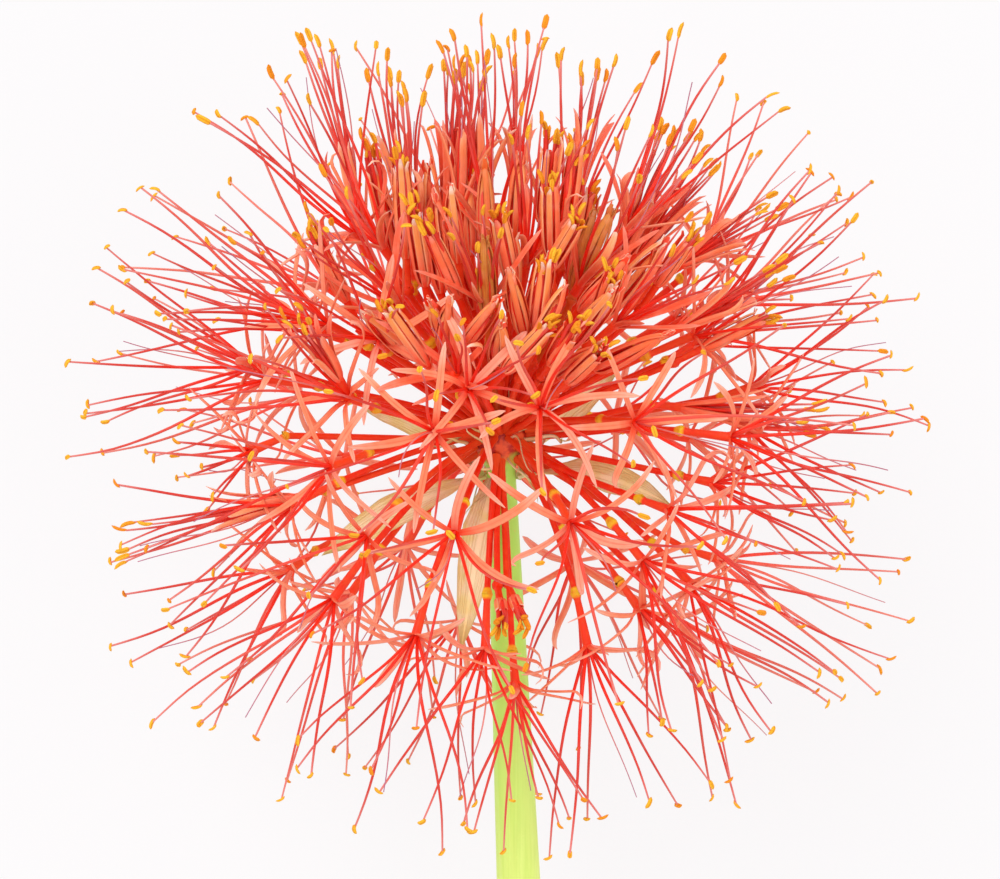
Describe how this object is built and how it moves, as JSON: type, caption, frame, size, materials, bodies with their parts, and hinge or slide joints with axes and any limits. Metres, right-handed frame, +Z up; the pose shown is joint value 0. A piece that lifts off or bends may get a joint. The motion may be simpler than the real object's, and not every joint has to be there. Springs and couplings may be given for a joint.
{
  "type": "blood lily flower",
  "caption": "Cut blood lily lying on its side: a globe-shaped umbel of red star florets with long spreading stamens on a smooth leafless green stem.",
  "frame": {"origin": "middle of the footprint, on the surface that the flower lies on", "axes": "+Z up from that surface, +Y from the cut end of the stem towards the umbel, +X across the flower"},
  "size_m": [0.1776, 0.2982, 0.1548],
  "materials": {
    "scape_skin": "satin",
    "dry_bract": "matte",
    "floret_red": "satin",
    "bud_salmon": "satin",
    "filament_red": "satin",
    "anther_gold": "matte"
  },
  "bodies": {
    "root": {"bract_1": "dry_bract", "bract_2": "dry_bract", "bract_3": "dry_bract", "bract_4": "dry_bract", "bract_5": "dry_bract", "bract_6": "dry_bract", "bud_21": "bud_salmon", "bud_23": "bud_salmon", "bud_25": "bud_salmon", "bud_27": "bud_salmon", "bud_29": "bud_salmon", "bud_31": "bud_salmon", "bud_33": "bud_salmon", "bud_35": "bud_salmon", "bud_37": "bud_salmon", "bud_38": "bud_salmon", "floret_01": "floret_red", "floret_02": "floret_red", "floret_03": "floret_red", "floret_04": "floret_red", "floret_05": "floret_red", "floret_06": "floret_red", "floret_07": "floret_red", "floret_08": "floret_red", "floret_09": "floret_red", "floret_10": "floret_red", "floret_11": "floret_red", "floret_12": "floret_red", "floret_13": "floret_red", "floret_14": "floret_red", "floret_15": "floret_red", "floret_16": "floret_red", "floret_17": "floret_red", "floret_18": "floret_red", "floret_19": "floret_red", "floret_20": "floret_red", "floret_22": "floret_red", "floret_24": "floret_red", "floret_26": "floret_red", "floret_28": "floret_red", "floret_30": "floret_red", "floret_32": "floret_red", "floret_34": "floret_red", "floret_36": "floret_red", "floret_39": "floret_red", "floret_40": "floret_red", "floret_41": "floret_red", "floret_42": "floret_red", "floret_43": "floret_red", "floret_44": "floret_red", "floret_45": "floret_red", "floret_46": "floret_red", "floret_47": "floret_red", "floret_48": "floret_red", "floret_49": "floret_red", "floret_50": "floret_red", "floret_51": "floret_red", "floret_52": "floret_red", "floret_53": "floret_red", "scape": "scape_skin"}
  },
  "joints": []
}
